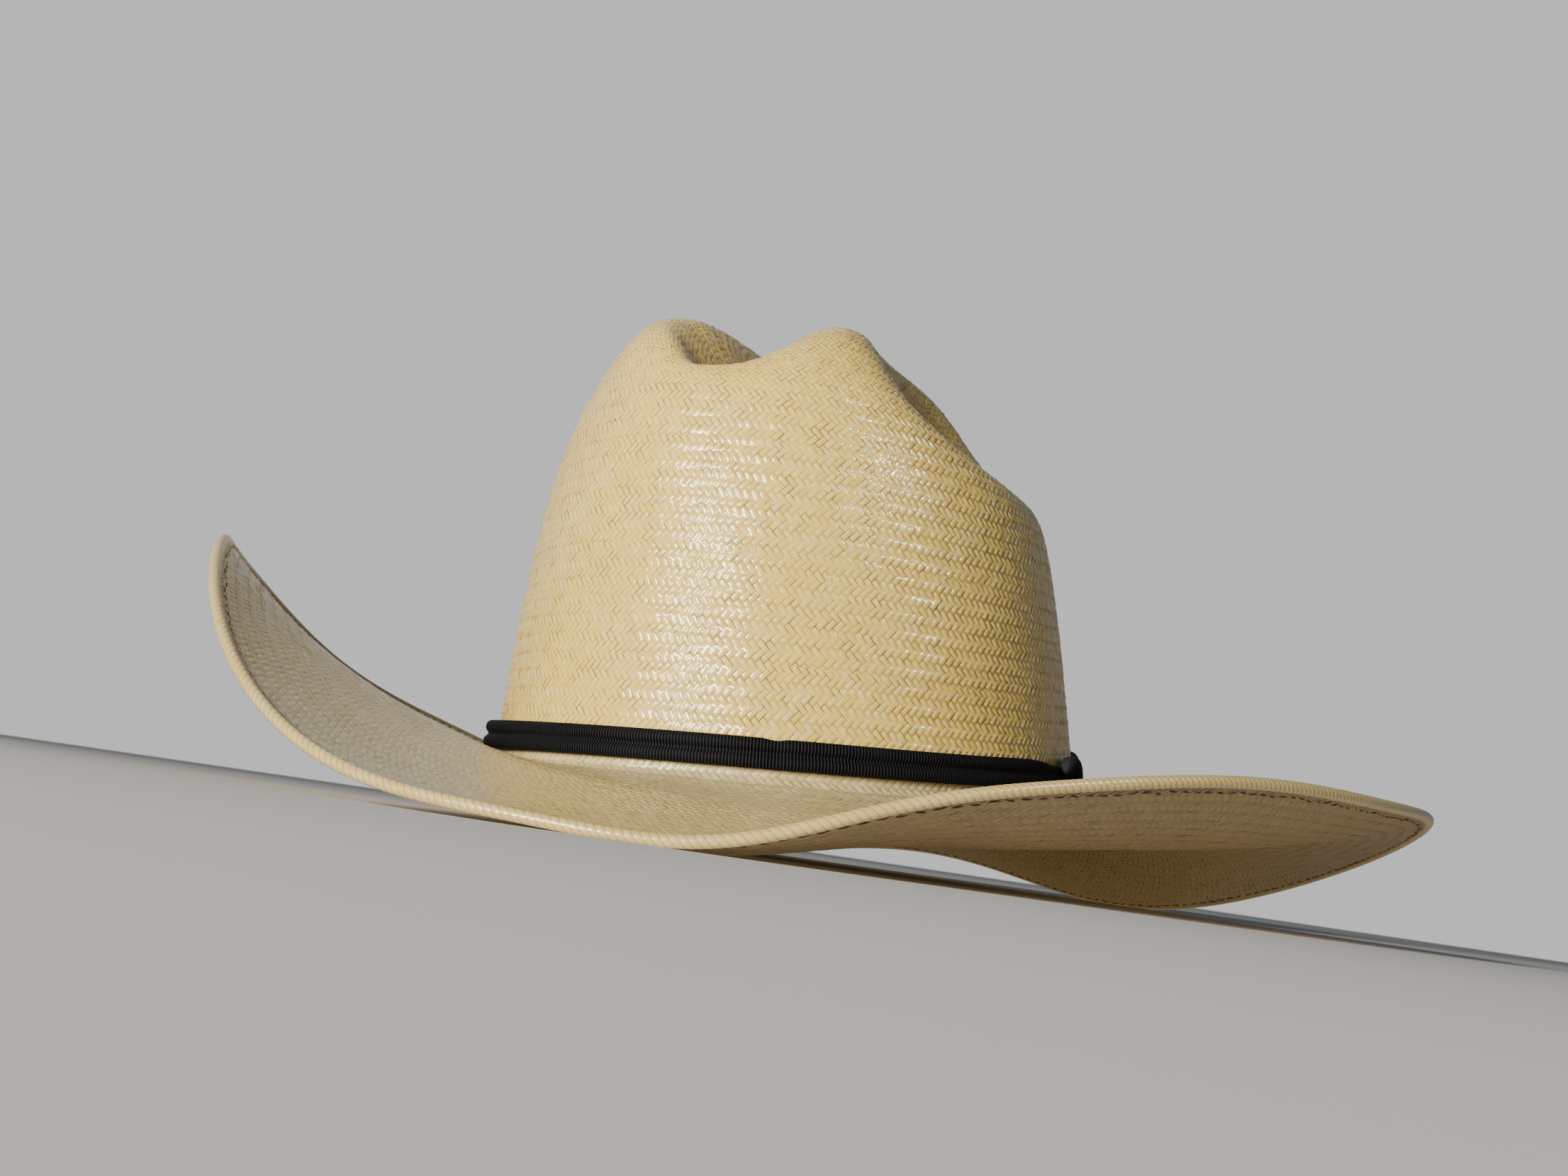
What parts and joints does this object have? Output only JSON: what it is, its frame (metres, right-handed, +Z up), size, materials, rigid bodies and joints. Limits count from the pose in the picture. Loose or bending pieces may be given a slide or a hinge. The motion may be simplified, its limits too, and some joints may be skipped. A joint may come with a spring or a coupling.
{
  "type": "straw cowboy hat",
  "caption": "Western straw hat with a creased and dented crown, a wide brim curled up at the sides with a rolled edge, and a black ribbon band tied in a small knot.",
  "frame": {"origin": "on the surface that the hat rests on, below the middle of its outer box", "axes": "+Z up, +Y towards the wearer's front, +X towards the wearer's right"},
  "size_m": [0.3686, 0.3924, 0.1554],
  "materials": {
    "woven_straw": "flat cream straws in a diagonal twill weave, stiffened and glossy",
    "ribbon": "black grosgrain ribbon with fine cross ribs, satin"
  },
  "bodies": {
    "root": {"hat_body": "woven_straw", "hat_band": "ribbon", "band_knot": "ribbon", "band_end": "ribbon"}
  },
  "joints": []
}
